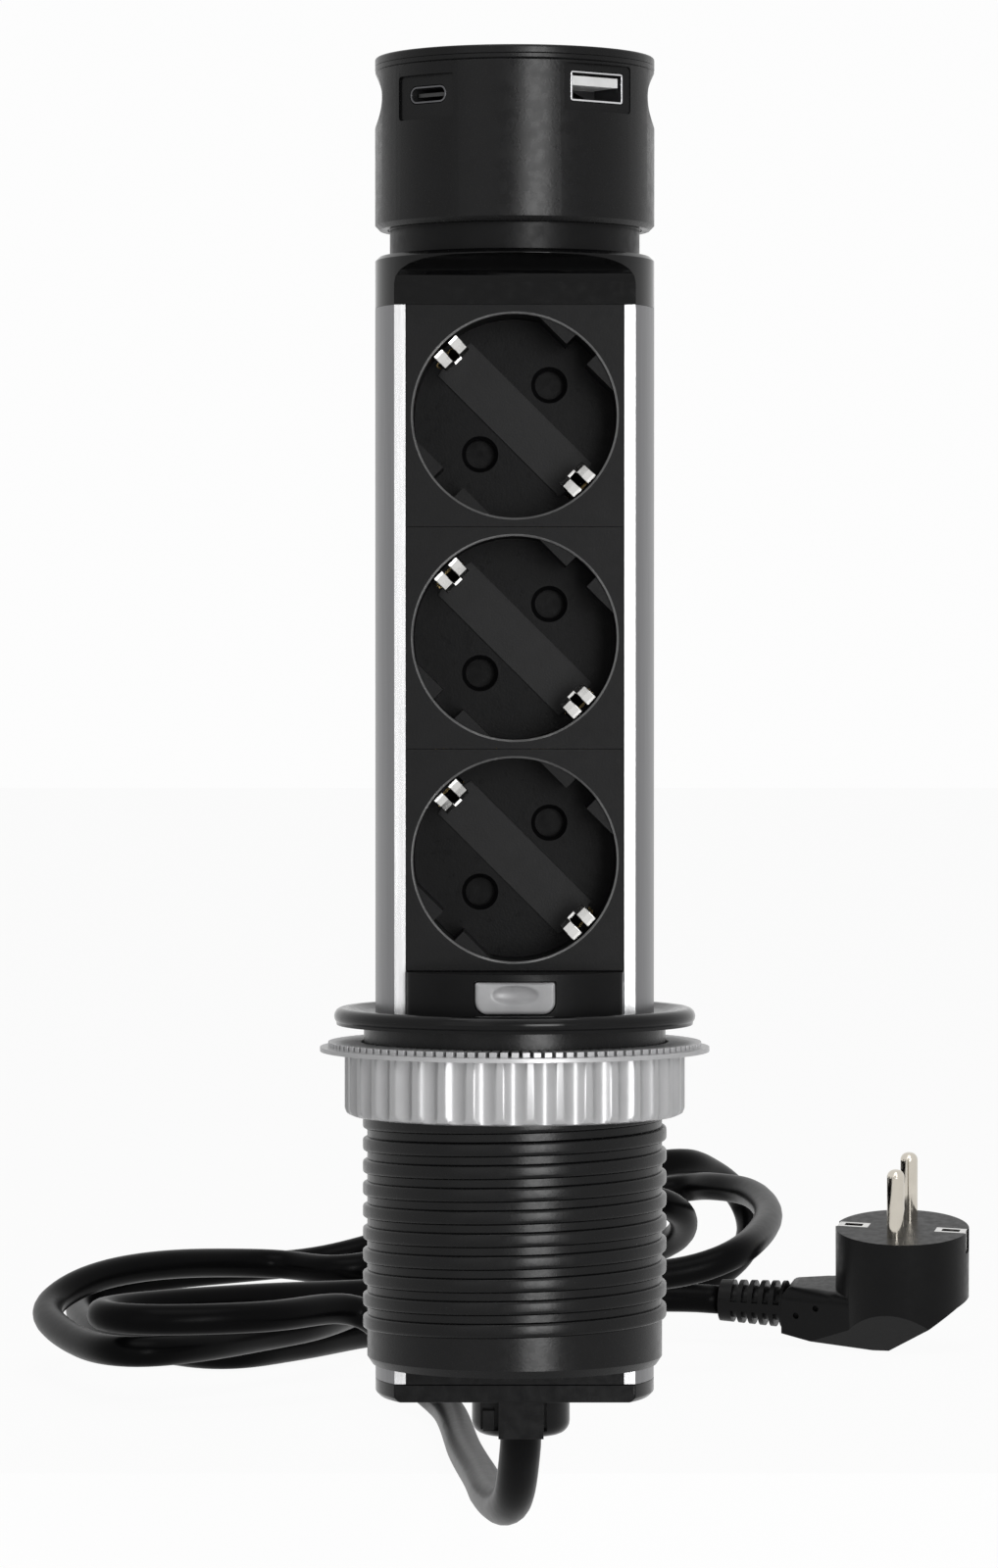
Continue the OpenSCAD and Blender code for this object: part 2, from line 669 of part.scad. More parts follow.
// Two forked spring blades that run back from the recess to the earth rails
module earth_clips(i) color("#d6d6d4") at_socket(i) along_pins() for (s = [-1, 1]) difference() {
    translate([-clip_w / 2, s > 0 ? clip_span / 2 : -clip_span / 2 - clip_t, clip_tip])
        cube([clip_w, clip_t, rail_front - clip_tip]);
    translate([-clip_slit / 2, s > 0 ? clip_span / 2 - 1 : -clip_span / 2 - clip_t - 1, clip_tip - 1])
        cube([clip_slit, clip_t + 2, clip_slit_len + 1]);
}

module earth_clips_1() earth_clips(1);
module earth_clips_2() earth_clips(2);
module earth_clips_3() earth_clips(3);

// Safety shutter: two wings behind the pin holes, turning on the carrier's spigot
module shutter(i) color("#3b3b3e") at_socket(i) along_pins() translate([0, 0, shutter_front]) difference() {
    union() {
        cylinder(r = hub_r, h = shutter_t);
        translate([-pin_spacing / 2, -2.4, 0]) cube([pin_spacing, 4.8, shutter_t]);
        for (s = [-1, 1]) translate([s * pin_spacing / 2, 0, 0]) cylinder(r = wing_r, h = shutter_t);
    }
    translate([0, 0, -1]) cylinder(r = spigot_d / 2 + 0.05, h = shutter_t + 2);
}

module shutter_1() shutter(1);
module shutter_2() shutter(2);
module shutter_3() shutter(3);

// Flat return springs between the shutters and the carriers
module shutter_springs() color("#9a9a9c") for (i = [1:socket_count]) at_socket(i) along_pins()
    translate([0, 0, spring_front]) difference() {
        union() {
            cylinder(r = hub_r - 1, h = spring_wire);
            translate([0, hub_r - 1 - 2 * spring_wire, 0]) cube([6, spring_wire, spring_wire]);
        }
        translate([0, 0, -1]) cylinder(r = spigot_d / 2 + 0.3, h = spring_wire + 2);
    }

// Block behind a shutter that holds the contact jaws, with four posts up to the pin plate
module contact_carrier(i) {
    corner = clip_span / 2 - clip_clear;
    color("#d8d4c8") at_socket(i) {
        difference() {
            translate([-carrier_half_w, -carrier_half_h, carrier_front])
                cube([2 * carrier_half_w, 2 * carrier_half_h, carrier_back - carrier_front]);
            along_pins() for (s = [-1, 1]) {
                translate([s * pin_spacing / 2, 0, carrier_front - 1])
                    cylinder(r = pocket_r, h = carrier_back - carrier_front + 2);
                translate([-tower_r, s > 0 ? corner : -corner - tower_r, carrier_front - 1])
                    cube([2 * tower_r, tower_r, carrier_back - carrier_front + 2]);
            }
        }
        translate([0, 0, plate_back + 0.2]) cylinder(r = spigot_d / 2, h = carrier_front - plate_back);
        for (x = [-1, 1], z = [-1, 1]) translate([x * post_x, z * post_z, plate_back])
            cylinder(r = post_r, h = carrier_front - plate_back + 0.5);
    }
}

module contact_carrier_1() contact_carrier(1);
module contact_carrier_2() contact_carrier(2);
module contact_carrier_3() contact_carrier(3);

// Places children at the front of each contact tube on side s
module at_jaws(s) for (i = [1:socket_count]) at_socket(i) along_pins()
    translate([s * pin_spacing / 2, 0, jaw_front]) children();

// Busbar on side s (+1 right, -1 left): a strip behind the carriers with a slit contact tube for each socket
module busbar(s) {
    jaw_len = carrier_back - jaw_front;
    color("#c9a24a") difference() {
        union() {
            translate([s * jaw_x - bar_half, carrier_back - face_y, bar_tail_z])
                cube([2 * bar_half, bar_t, bar_top - bar_tail_z]);
            at_jaws(s) cylinder(r = jaw_r, h = jaw_len + 0.3);
        }
        at_jaws(s) translate([0, 0, -1]) {
            cylinder(r = pin_d / 2, h = jaw_len + bar_t + 2);
            translate([-jaw_slit / 2, -jaw_r - 1, 0]) cube([jaw_slit, 2 * jaw_r + 2, jaw_len]);
        }
    }
}

module live_busbar() busbar(1);
module neutral_busbar() busbar(-1);

// Two rails that the earth clips end on, joined by a bridge below the lowest socket
module earth_rails() color("#bda15a") translate([0, rail_front - face_y, 0]) {
    low = bar_tail_z - rail_tail;
    top = socket_z(socket_count) + clip_span / 2;
    for (s = [-1, 1]) translate([s > 0 ? rail_inner : -rail_inner - rail_w, 0, low])
        cube([rail_w, bar_t, top - low]);
    translate([-rail_inner - rail_w, 0, low]) cube([2 * (rail_inner + rail_w), bar_t, rail_bridge_h]);
}

// Section of the lower block: the tower's full round in front of the profile, with rounded vertical edges
module block_section() {
    edge_x = insert_half - block_r;
    edge_y = sqrt(pow(tower_r - block_r, 2) - edge_x * edge_x);
    far_x = 1.5 * edge_x;
    far_y = 1.5 * edge_y;
    intersection() {
        circle(r = tower_r);
        polygon([[0, 0], [-far_x, -far_y], [0, -2 * tower_r], [far_x, -far_y]]);
    }
    for (s = [-1, 1]) translate([s * edge_x, -edge_y]) circle(r = block_r, $fn = 48);
    translate([-insert_half, -edge_y]) square([2 * insert_half, edge_y - face_y + block_back]);
    translate([-insert_flange_half, -flange_front]) square([2 * insert_flange_half, insert_flange_t]);
}

// Front view of the button: square at the top and rounded at the bottom, grown by a clearance
module button_front(grow, grow_top) {
    half = button_w / 2 + grow;
    corner = button_corner + grow;
    low = button_low + button_corner;
    translate([-half, low]) square([2 * half, button_top + grow_top - low]);
    translate([-half + corner, button_low - grow]) square([2 * (half - corner), corner + 0.1]);
    for (s = [-1, 1]) translate([s * (half - corner), low]) circle(r = corner, $fn = 48);
}

// Stands a front view up at distance y in front of the axis, with its thickness running back
module stand_up(y, depth) translate([0, -y, 0]) rotate([-90, 0, 0]) mirror([0, 1, 0]) linear_extrude(depth)
    children();

module lower_block() {
    top = socket_rise - part_gap;
    step_y = button_flat - button_t + button_flange_t;
    color("#1d1d1f") difference() {
        translate([0, 0, -block_drop]) linear_extrude(block_drop + top) block_section();
        stand_up(tower_r + 1, tower_r + 1 - pocket_floor) button_front(button_gap, button_gap);
        stand_up(step_y, step_y - pocket_floor) button_front(button_gap + button_flange_lap, button_gap);
    }
}

module release_button() color("#b0b1b3") difference() {
    union() {
        stand_up(button_flat, button_t) button_front(0, 0);
        stand_up(button_flat - button_t + button_flange_t, button_flange_t)
            button_front(button_flange_lap, 0);
    }
    translate([0, -button_flat - dimple_r + dimple_depth, button_top - 2.4])
        rotate([0, 90, 0]) translate([0, 0, -dimple_half]) cylinder(r = dimple_r, h = 2 * dimple_half);
}

module button_spring() {
    length = button_flat - button_t - pocket_floor - spring_wire;
    count = spring_turns * 10;
    path = [for (k = [0:count]) let (a = 36 * k)
        [spring_r * cos(a), -pocket_floor - spring_wire / 2 - length * k / count,
            button_mid + spring_r * sin(a)]];
    color("#a9aaac") tube(path, spring_wire, 6);
}

module filler_panel() color("#161618") translate([0, 0, -profile_drop]) {
    h = profile_drop - block_drop - part_gap;
    translate([-insert_half, -face_y, 0]) cube([2 * insert_half, plate_t, h]);
    translate([-insert_flange_half, -flange_front, 0]) cube([2 * insert_flange_half, insert_flange_t, h]);
}

module base_cap() {
    bottom = -profile_drop - base_t;
    sink = 1.8;
    color("#141416") difference() {
        intersection() {
            translate([0, 0, bottom]) linear_extrude(base_t) tower_outline(tower_r, face_y);
            translate([0, 0, bottom]) rotate_extrude()
                polygon([[0, 0], [tower_r - 0.9, 0], [tower_r, 0.9], [tower_r, base_t], [0, base_t]]);
        }
        translate([gland_x, 0, bottom - 1]) cylinder(r = gland_spigot_r + part_gap, h = base_t + 2);
        translate([0, 0, bottom - 1]) at_channels() cylinder(r = screw_r + screw_gap, h = base_t + 2);
        translate([0, 0, bottom - 1]) at_channels() cylinder(r = screw_head_r + screw_gap, h = sink + 1);
    }
}

module base_screws() color("#8f9092") translate([0, 0, -profile_drop - base_t]) at_channels() {
    sink = 1.8;
    translate([0, 0, 0.2]) difference() {
        cylinder(r = screw_head_r, h = sink - 0.2);
        translate([0, 0, -1]) cylinder(r = 1.2, h = 2, $fn = 6);
    }
    translate([0, 0, sink - 0.5]) cylinder(r = channel_hole_r - screw_gap, h = base_t + 9);
}

// Boss that the cord leaves through: a middle rib, a slit beside it and a notch with a tab
module cable_gland() {
    gland_r = gland_d / 2;
    edge = 2.6;
    rib_half = 4.35;
    color("#1b1b1d") translate([gland_x, 0, -profile_drop - base_t]) difference() {
        union() {
            rotate_extrude() polygon(concat([[0, 0], [0, -gland_h]],
                arc(gland_r - edge, edge - gland_h, edge, -90, 0, 6), [[gland_r, 0]]));
            translate([-rib_half, -gland_r - 0.2, -gland_h]) cube([2 * rib_half, gland_r, gland_h]);
            translate([0, 0, -0.5]) cylinder(r = gland_spigot_r, h = base_t + gland_nut_h + gland_over + 0.5);
        }
        translate([0, 0, -gland_h]) rotate([gland_bend, 0, 0]) translate([0, 0, -cord_d])
            cylinder(r = cord_d / 2 + cord_gap, h = cord_d + pocket_depth);
        translate([rib_half, -gland_r - 1, -gland_h + 1.2]) cube([0.6, 6, gland_h]);
        translate([-rib_half - 3.4, -gland_r - 1, -gland_h + 1.4]) cube([3.4, 6, gland_h - 1.4]);
    }
    color("#1b1b1d")
        translate([gland_x - rib_half - 3, -gland_r + 2.4, -profile_drop - base_t - gland_h + 1.2])
        cube([2.2, 4, 4]);
}

module gland_nut() color("#202022") translate([gland_x, 0, -profile_drop]) difference() {
    cylinder(r = 9.5, h = gland_nut_h, $fn = 6);
    translate([0, 0, -1]) cylinder(r = gland_spigot_r + screw_gap, h = gland_nut_h + 2);
}

// Rings of a swept tube: each ring's first direction is carried along from the one before
function tangents(p) = [for (i = [0:len(p) - 1]) unit(p[min(i + 1, len(p) - 1)] - p[max(i - 1, 0)])];
function carry(t, n, i = 0) = let (m = unit(n - (n * t[i]) * t[i]))
    i == len(t) - 1 ? [m] : concat([m], carry(t, m, i + 1));
function start_side(t) = abs(t[0][0]) < 0.9 ? [1, 0, 0] : [0, 0, 1];

module swept(path, t, n, d, sides) {
    last = len(path) - 1;
    points = [for (i = [0:last]) for (j = [0:sides - 1]) let (a = 360 * j / sides)
        path[i] + d / 2 * (cos(a) * n[i] + sin(a) * cross(t[i], n[i]))];
    walls = [for (i = [0:last - 1]) for (j = [0:sides - 1])
        let (a = i * sides + j, b = i * sides + (j + 1) % sides)
        each [[a, a + sides, b], [b, a + sides, b + sides]]];
    ends = [for (j = [1:sides - 2]) each [[0, j, j + 1],
        [last * sides, last * sides + j + 1, last * sides + j]]];
    polyhedron(points, concat(walls, ends));
}

module tube(path, d, sides) {
    t = tangents(path);
    swept(path, t, carry(t, start_side(t)), d, sides);
}

function curve_point(a, b, c, d, t) = 0.5 * (2 * b + (c - a) * t + (2 * a - 5 * b + 4 * c - d) * t * t
    + (3 * b - a - 3 * c + d) * t * t * t);
// Smooth curve through points, with its first and its last stretch straight
function curve(p, steps) = let (last = len(p) - 2) concat([for (i = [0:last]) for (k = [0:steps - 1])
    i == 0 || i == last ? p[i] + (p[i + 1] - p[i]) * k / steps
    : curve_point(p[i - 1], p[i], p[i + 1], p[i + 2], k / steps)], [p[last + 1]]);

module wire(points) tube(curve(points, 3), wire_d, 8);

// Wire from the gland up to a bar: where it starts, swings back and ends, each as x and y
module tower_wire(start, swing, end, end_z) wire([
    [start[0], start[1], wire_low],
    [start[0], start[1], wire_low + wire_straight],
    [swing[0], swing[1], wire_swing_z],
    [end[0], end[1], wire_up_z],
    [end[0], end[1], end_z]
]);

module live_wire() color("#6b4226")
    tower_wire([gland_x + wire_ring_r, 0], live_swing, [jaw_x, bar_y], bar_tail_z);
module neutral_wire() color("#2f5d9b")
    tower_wire([gland_x - wire_ring_r, 0], neutral_swing, [-jaw_x, bar_y], bar_tail_z);
module earth_wire() color("#7fa63a")
    tower_wire([gland_x, earth_start_y], earth_swing, [0, rail_y], bar_tail_z - rail_tail);

// Two leads from the tops of the busbars up to the charger's board
module charger_wires() color("#8b2e2e") for (s = [-1, 1])
    wire([[s * jaw_x, bar_y, bar_top], [s * jaw_x, bar_y, bar_top + 4], [s * 5.2, 12, profile_top + 3.5],
        [s * 3, 2, cap_top - 1], [s * 3, 0, cap_top + 8], [s * 3, 0, board_low]]);

// The stretch of the cord between two rings
module cord_part(from, to) swept([for (i = [from:to]) line[i]], [for (i = [from:to]) line_t[i]],
    [for (i = [from:to]) line_n[i]], cord_d, 8);

module cord_lead() color("#101012") cord_part(0, lead_last);

module cord_hank() {
    spots = [for (i = [0:len(line) - 2]) for (k = [0:gap_samples - 1])
        line[i] + (line[i + 1] - line[i]) * k / gap_samples];
    gaps = [for (i = [0:len(spots) - gap_skip - 1])
        min([for (j = [i + gap_skip:len(spots) - 1]) norm(spots[i] - spots[j])])];
    steps = [for (i = [1:len(line) - 1]) norm(line[i] - line[i - 1])];
    echo(least_gap = min(gaps) - cord_d, cord_length = steps * [for (s = steps) 1]);
    color("#101012") cord_part(lead_last, len(line) - 1);
}

// Plug frame: origin at the face's centre, +Z along the pins and -X towards the cord
module at_plug() translate(plug_at) rotate(plug_turn) children();

module plug_body() {
    half = plug_d / 2;
    neck_half = relief_d / 2;
    slot = 1.7;
    step = relief_len / (relief_slots + 1.2);
    neck_x = -relief_start - 0.5;
    neck_crest = -relief_drop + neck_half + 0.4;
    side = [[-half - 1, 0], [half + 1, 0], [half + 1, -plug_wall_h], [half - 1.5, -plug_wall_h - 1],
        [plug_corner, -plug_low], [neck_x, -relief_drop - neck_half], [neck_x, -relief_drop + neck_half],
        [-half - 1, neck_crest]];
    end = [[-half - 1, 1], [half + 1, 1], [half + 1, -plug_wall_h], [plug_low_half, -plug_low - 0.1],
        [-plug_low_half, -plug_low - 0.1], [-half - 1, -plug_wall_h]];
    color("#18181a") at_plug() {
        difference() {
            intersection() {
                rotate([90, 0, 0]) linear_extrude(plug_d + 2, center = true) polygon(side);
                translate([0, 0, -plug_d]) {
                    cylinder(d = plug_d, h = plug_d + 1);
                    linear_extrude(plug_d + neck_crest) polygon([[0, -half + 0.6], [0, half - 0.6],
                        [neck_x - 0.5, neck_half], [neck_x - 0.5, -neck_half]]);
                }
                rotate([90, 0, 90]) linear_extrude(2 * plug_d, center = true) polygon(end);
            }
            for (s = [-1, 1]) translate([0, s * pin_spacing / 2, -pin_root])
                cylinder(r = pin_root_r + screw_gap, h = pin_root + 1);
            for (s = [-1, 1]) translate([s * (half - contact_in / 2 + 0.5), 0, -contact_drop / 2 + 0.5])
                cube([contact_in + 1, contact_w + 0.4, contact_drop + 1], center = true);
            for (at = mould_holes) translate(at) rotate([90, 0, 0]) cylinder(r = mould_hole_r, h = neck_half);
        }
        translate([-relief_start, 0, -relief_drop]) rotate([0, -90, 0]) difference() {
            cylinder(r1 = neck_half, r2 = neck_half - 0.8, h = relief_len, $fn = 48);
            for (k = [1:relief_slots]) translate([0, 0, k * step - slot / 2]) difference() {
                cube([2 * neck_half + 2, 2 * neck_half + 2, slot], center = true);
                cube([2.6, 2 * neck_half + 3, slot + 1], center = true);
                cylinder(r = cord_d / 2 + 0.6, h = slot + 1, center = true, $fn = 48);
            }
        }
    }
}

module plug_pins() color("#d8d4c6") at_plug() for (s = [-1, 1]) translate([0, s * pin_spacing / 2, -pin_root])
    rotate_extrude() polygon(concat(
        [[0, 0], [pin_root_r, 0], [pin_root_r, pin_root], [pin_d / 2, pin_root]],
        arc(pin_d / 2 - pin_tip, pin_root + pin_len - pin_tip, pin_tip, 0, 90, 6),
        [[0, pin_root + pin_len]]
    ));

// Earth contacts: a plate with a hole in a notch at each side of the plug's face
module plug_earth_contacts() color("#cfcfd0") at_plug() for (s = [-1, 1]) {
    half = plug_d / 2;
    translate([s * (half - contact_in / 2 - 0.3), 0, -contact_drop / 2]) difference() {
        cube([contact_in - 0.6, contact_w, contact_drop], center = true);
        translate([s * 1.2, 0, -contact_t])
            cube([contact_in + 1, contact_w + 1, contact_drop], center = true);
    }
}

flange_ring();
threaded_sleeve();
sleeve_thread();
glide_pads();
thrust_ring();
clamp_nut();
tower_profile();
top_cap();
head_base();
head_shell();
head_lid();
head_screws();
usb_c_port();
usb_c_tongue();
usb_a_port();
usb_a_tongue();
charger_board();
charger_parts();
socket_insert_1();
socket_insert_2();
socket_insert_3();
pin_plate_1();
pin_plate_2();
pin_plate_3();
earth_clips_1();
earth_clips_2();
earth_clips_3();
shutter_1();
shutter_2();
shutter_3();
shutter_springs();
contact_carrier_1();
contact_carrier_2();
contact_carrier_3();
live_busbar();
neutral_busbar();
earth_rails();
live_wire();
neutral_wire();
earth_wire();
charger_wires();
lower_block();
release_button();
button_spring();
filler_panel();
base_cap();
base_screws();
cable_gland();
gland_nut();
cord_lead();
cord_hank();
plug_body();
plug_pins();
plug_earth_contacts();
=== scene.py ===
import json
import math

import bmesh
import bpy
from mathutils import Matrix, Vector


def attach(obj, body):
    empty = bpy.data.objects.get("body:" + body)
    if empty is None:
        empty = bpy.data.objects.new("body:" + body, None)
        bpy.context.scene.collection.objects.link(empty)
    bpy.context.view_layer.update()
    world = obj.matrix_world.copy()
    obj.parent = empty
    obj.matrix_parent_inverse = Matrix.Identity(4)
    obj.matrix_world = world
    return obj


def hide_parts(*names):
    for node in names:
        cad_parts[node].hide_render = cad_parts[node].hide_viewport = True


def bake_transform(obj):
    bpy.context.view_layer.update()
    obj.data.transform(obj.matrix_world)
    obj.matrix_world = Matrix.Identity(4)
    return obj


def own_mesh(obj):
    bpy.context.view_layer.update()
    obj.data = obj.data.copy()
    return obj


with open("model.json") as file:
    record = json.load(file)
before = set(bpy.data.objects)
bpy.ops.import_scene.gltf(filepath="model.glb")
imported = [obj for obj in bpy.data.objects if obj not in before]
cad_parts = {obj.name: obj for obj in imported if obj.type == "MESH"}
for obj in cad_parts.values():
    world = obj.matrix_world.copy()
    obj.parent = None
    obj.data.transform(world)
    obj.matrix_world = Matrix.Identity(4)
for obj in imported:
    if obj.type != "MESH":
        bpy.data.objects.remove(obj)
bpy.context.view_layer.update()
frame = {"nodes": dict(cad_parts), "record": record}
nodes = frame["nodes"]
body_of = {n: b for b, names in frame["record"]["behaviour"]["bodies"].items() for n in names}
scene = bpy.context.scene
MM = 0.001
EDGE_ANGLE = math.radians(32)
FIRST_MODULE = 11
MODULE_HEIGHT = 42.5
BOX_FACES = ((0, 1, 3, 2), (4, 6, 7, 5), (0, 4, 5, 1), (2, 3, 7, 6), (0, 2, 6, 4), (1, 5, 7, 3))

# Camera of the photograph
lens = bpy.data.cameras.new("camera")
lens.sensor_width = 36
lens.lens = 133.38
lens.clip_start = 0.05
lens.clip_end = 30
camera = bpy.data.objects.new("camera", lens)
camera.location = (-0.00304, -1.126, 0.0665)
camera.rotation_euler = (math.radians(90 - 1.015), 0, 0)
scene.collection.objects.link(camera)
scene.camera = camera
scene.view_settings.view_transform = "Standard"
scene.view_settings.look = "None"


# Mesh helpers
def add_object(name, mesh, look):
    obj = bpy.data.objects.new(name, mesh)
    scene.collection.objects.link(obj)
    mesh.materials.clear()
    mesh.materials.append(look)
    return obj


def mesh_from(name, verts, faces, smooth=True):
    mesh = bpy.data.meshes.new(name)
    mesh.from_pydata([tuple(v) for v in verts], [], faces)
    mesh.validate()
    if smooth:
        mesh.shade_smooth()
    return mesh


def add_box(verts, faces, low, high, place):
    """Add a box between two corners, with each of its points put through place."""
    base = len(verts)
    for x in (low[0], high[0]):
        for y in (low[1], high[1]):
            for z in (low[2], high[2]):
                verts.append(place(Vector((x, y, z))) * MM)
    for face in BOX_FACES:
        faces.append(tuple(base + k for k in face))


def socket_height(i):
    """Height of a socket's centre in mm. Socket 1 is the lowest."""
    return FIRST_MODULE + (i - 0.5) * MODULE_HEIGHT


def spline(points, steps):
    """Catmull-Rom curve through the points, straight in its first and last stretch, as in the CAD."""
    out = []
    last = len(points) - 1
    for i in range(last):
        a, b = points[max(i - 1, 0)], points[i]
        c, d = points[i + 1], points[min(i + 2, last)]
        for k in range(steps):
            t = k / steps
            if i in (0, last - 1):
                out.append(b + (c - b) * t)
                continue
            out.append(0.5 * (2 * b + (c - a) * t + (2 * a - 5 * b + 4 * c - d) * t * t
                              + (3 * b - a - 3 * c + d) * t ** 3))
    out.append(points[-1])
    return out


def eased(path, step, rounds, first, last):
    """Path in even steps with its tight corners eased, but not within first and last of its ends.

    The easing sets in over a length of 40 at the first end and of 30 at the last one.
    """
    out, reach, left = [path[0]], 0.0, step
    for a, b in zip(path, path[1:]):
        length = (b - a).length
        while left <= length - reach:
            reach += left
            out.append(a + (b - a) * (reach / length))
            left = step
        left -= length - reach
        reach = 0.0
    if left < step / 2:
        out.append(path[-1])
    else:
        out[-1] = path[-1]
    end = len(out) - 1
    for _ in range(rounds):
        old = [p.copy() for p in out]
        for i in range(1, end):
            hold = min((i * step - first) / 40, ((end - i) * step - last) / 30, 1)
            if hold > 0:
                out[i] = old[i] + (0.25 * (old[i - 1] + old[i + 1]) - 0.5 * old[i]) * hold
    return out


def tube_mesh(name, path, radius, sides):
    """Round tube along a path, closed at both ends."""
    tangents = []
    last = len(path) - 1
    for i in range(last + 1):
        tangents.append((path[min(i + 1, last)] - path[max(i - 1, 0)]).normalized())
    side = tangents[0].orthogonal().normalized()
    verts, faces = [], []
    for i, (p, t) in enumerate(zip(path, tangents)):
        side = (side - t * side.dot(t)).normalized()
        up = t.cross(side)
        for j in range(sides):
            a = 2 * math.pi * j / sides
            verts.append(p + radius * (math.cos(a) * side + math.sin(a) * up))
        if i:
            for j in range(sides):
                k = (j + 1) % sides
                base = (i - 1) * sides
                faces.append((base + j, base + k, base + sides + k, base + sides + j))
    faces.append(tuple(range(sides - 1, -1, -1)))
    faces.append(tuple(last * sides + j for j in range(sides)))
    return mesh_from(name, verts, faces)


# Material helpers
def material(name, color, rough, metallic=0.0, specular=0.5, grain=0.0, grain_size=0.3,
             rough_spread=0.06, shade_spread=0.12, shade_size=6.0, stretch=(1, 1, 1)):
    """Principled material with a fine grain, an uneven gloss and a slight change of shade, sized in mm."""
    mat = bpy.data.materials.new(name)
    mat.use_nodes = True
    tree = mat.node_tree
    shader = tree.nodes["Principled BSDF"]
    shader.inputs["Metallic"].default_value = metallic
    shader.inputs["Specular IOR Level"].default_value = specular
    place = tree.nodes.new("ShaderNodeTexCoord")
    mapping = tree.nodes.new("ShaderNodeMapping")
    mapping.inputs["Scale"].default_value = stretch
    tree.links.new(place.outputs["Object"], mapping.inputs["Vector"])

    def noise(size, detail=3.0):
        n = tree.nodes.new("ShaderNodeTexNoise")
        n.inputs["Scale"].default_value = 1000.0 / size
        n.inputs["Detail"].default_value = detail
        tree.links.new(mapping.outputs["Vector"], n.inputs["Vector"])
        return n.outputs["Fac"]

    def spread(source, low, high):
        r = tree.nodes.new("ShaderNodeMapRange")
        r.inputs["From Min"].default_value = 0.3
        r.inputs["From Max"].default_value = 0.7
        r.inputs["To Min"].default_value = low
        r.inputs["To Max"].default_value = high
        tree.links.new(source, r.inputs["Value"])
        return r.outputs["Result"]

    shade = tree.nodes.new("ShaderNodeMix")
    shade.data_type = "RGBA"
    shade.inputs["A"].default_value = [c * (1 - shade_spread) for c in color] + [1]
    shade.inputs["B"].default_value = [min(1, c * (1 + shade_spread)) for c in color] + [1]
    tree.links.new(spread(noise(shade_size), 0, 1), shade.inputs["Factor"])
    tree.links.new(shade.outputs["Result"], shader.inputs["Base Color"])
    smoothest = max(0.02, rough - rough_spread)
    roughest = min(1, rough + rough_spread)
    tree.links.new(spread(noise(shade_size / 3), smoothest, roughest), shader.inputs["Roughness"])
    if grain:
        fine = noise(grain_size, 4.0)
        bump = tree.nodes.new("ShaderNodeBump")
        bump.inputs["Strength"].default_value = 1.0
        bump.inputs["Distance"].default_value = grain * MM
        tree.links.new(fine, bump.inputs["Height"])
        tree.links.new(bump.outputs["Normal"], shader.inputs["Normal"])
    return mat


# Materials
gloss_black = material("gloss_black", (0.002, 0.002, 0.0021), 0.10, specular=0.15, grain=0.001,
                       grain_size=2.5)
neck_black = material("neck_black", (0.003, 0.003, 0.0032), 0.36, specular=0.10, grain=0.02, grain_size=0.45)
head_black = material("head_black", (0.0028, 0.0028, 0.003), 0.28, specular=0.16, grain=0.02, grain_size=0.45,
                      rough_spread=0.05)
sleeve_black = material("sleeve_black", (0.0022, 0.0022, 0.0024), 0.27, specular=0.19, grain=0.015,
                        grain_size=0.5, rough_spread=0.04)
flange_black = material("flange_black", (0.003, 0.003, 0.0032), 0.17, specular=0.15, grain=0.006,
                        grain_size=0.5)
socket_black = material("socket_black", (0.005, 0.005, 0.0052), 0.38, specular=0.08, grain=0.02,
                        grain_size=0.4)
plate_black = material("plate_black", (0.003, 0.003, 0.0032), 0.32, specular=0.06, grain=0.02, grain_size=0.4)
# Lighter colour for the raised band across each socket floor, a painted sheen
band_painted_sheen = material("band_painted_sheen", (0.008, 0.008, 0.0083), 0.36, specular=0.10, grain=0.02, grain_size=0.4)
# Lighter colour for the chamfer round each socket recess, a painted highlight
rim_painted_highlight = material("rim_painted_highlight", (0.10, 0.10, 0.10), 0.22, specular=1.0, rough_spread=0.1)
# Shutters darker than the socket plastic, as painted shade in the pin holes
shutter_grey = material("shutter_grey", (0.002, 0.002, 0.0021), 0.25, specular=0.06, grain=0.01)
base_black = material("base_black", (0.003, 0.003, 0.0032), 0.20, specular=0.13, grain=0.008, grain_size=0.5)
wall_grey = material("wall_grey", (0.165, 0.165, 0.17), 0.34, metallic=0.9, grain=0.004, grain_size=0.6,
                     stretch=(1, 1, 0.02), shade_spread=0.05, shade_size=0.8, rough_spread=0.03)
# Lighter copy of the aluminium for the front lips, a painted highlight
lip_painted_highlight = material("lip_painted_highlight", (0.56, 0.56, 0.565), 0.24, metallic=0.8, grain=0.001, grain_size=0.6,
                      stretch=(1, 1, 0.02), shade_spread=0.03, shade_size=0.8, rough_spread=0.03)
silver = material("silver", (0.37, 0.37, 0.375), 0.36, metallic=0.35, rough_spread=0.02, shade_spread=0.04)
button_grey = material("button_grey", (0.27, 0.27, 0.275), 0.34, specular=0.4, grain=0.006, grain_size=0.35)
steel = material("steel", (0.55, 0.55, 0.56), 0.25, metallic=1.0, grain=0.004)
clip_metal = material("clip_metal", (0.66, 0.655, 0.64), 0.22, metallic=1.0, grain=0.003, shade_spread=0.04)
nickel = material("nickel", (0.60, 0.56, 0.49), 0.12, metallic=1.0, grain=0.003, shade_spread=0.05)
brass = material("brass", (0.75, 0.55, 0.25), 0.28, metallic=1.0, grain=0.004)
ivory = material("ivory", (0.72, 0.69, 0.62), 0.5, grain=0.01)
tongue_white = material("tongue_white", (0.62, 0.62, 0.62), 0.4)
tongue_black = material("tongue_black", (0.012, 0.012, 0.012), 0.4)
port_metal = material("port_metal", (0.60, 0.60, 0.61), 0.22, metallic=1.0, grain=0.003)
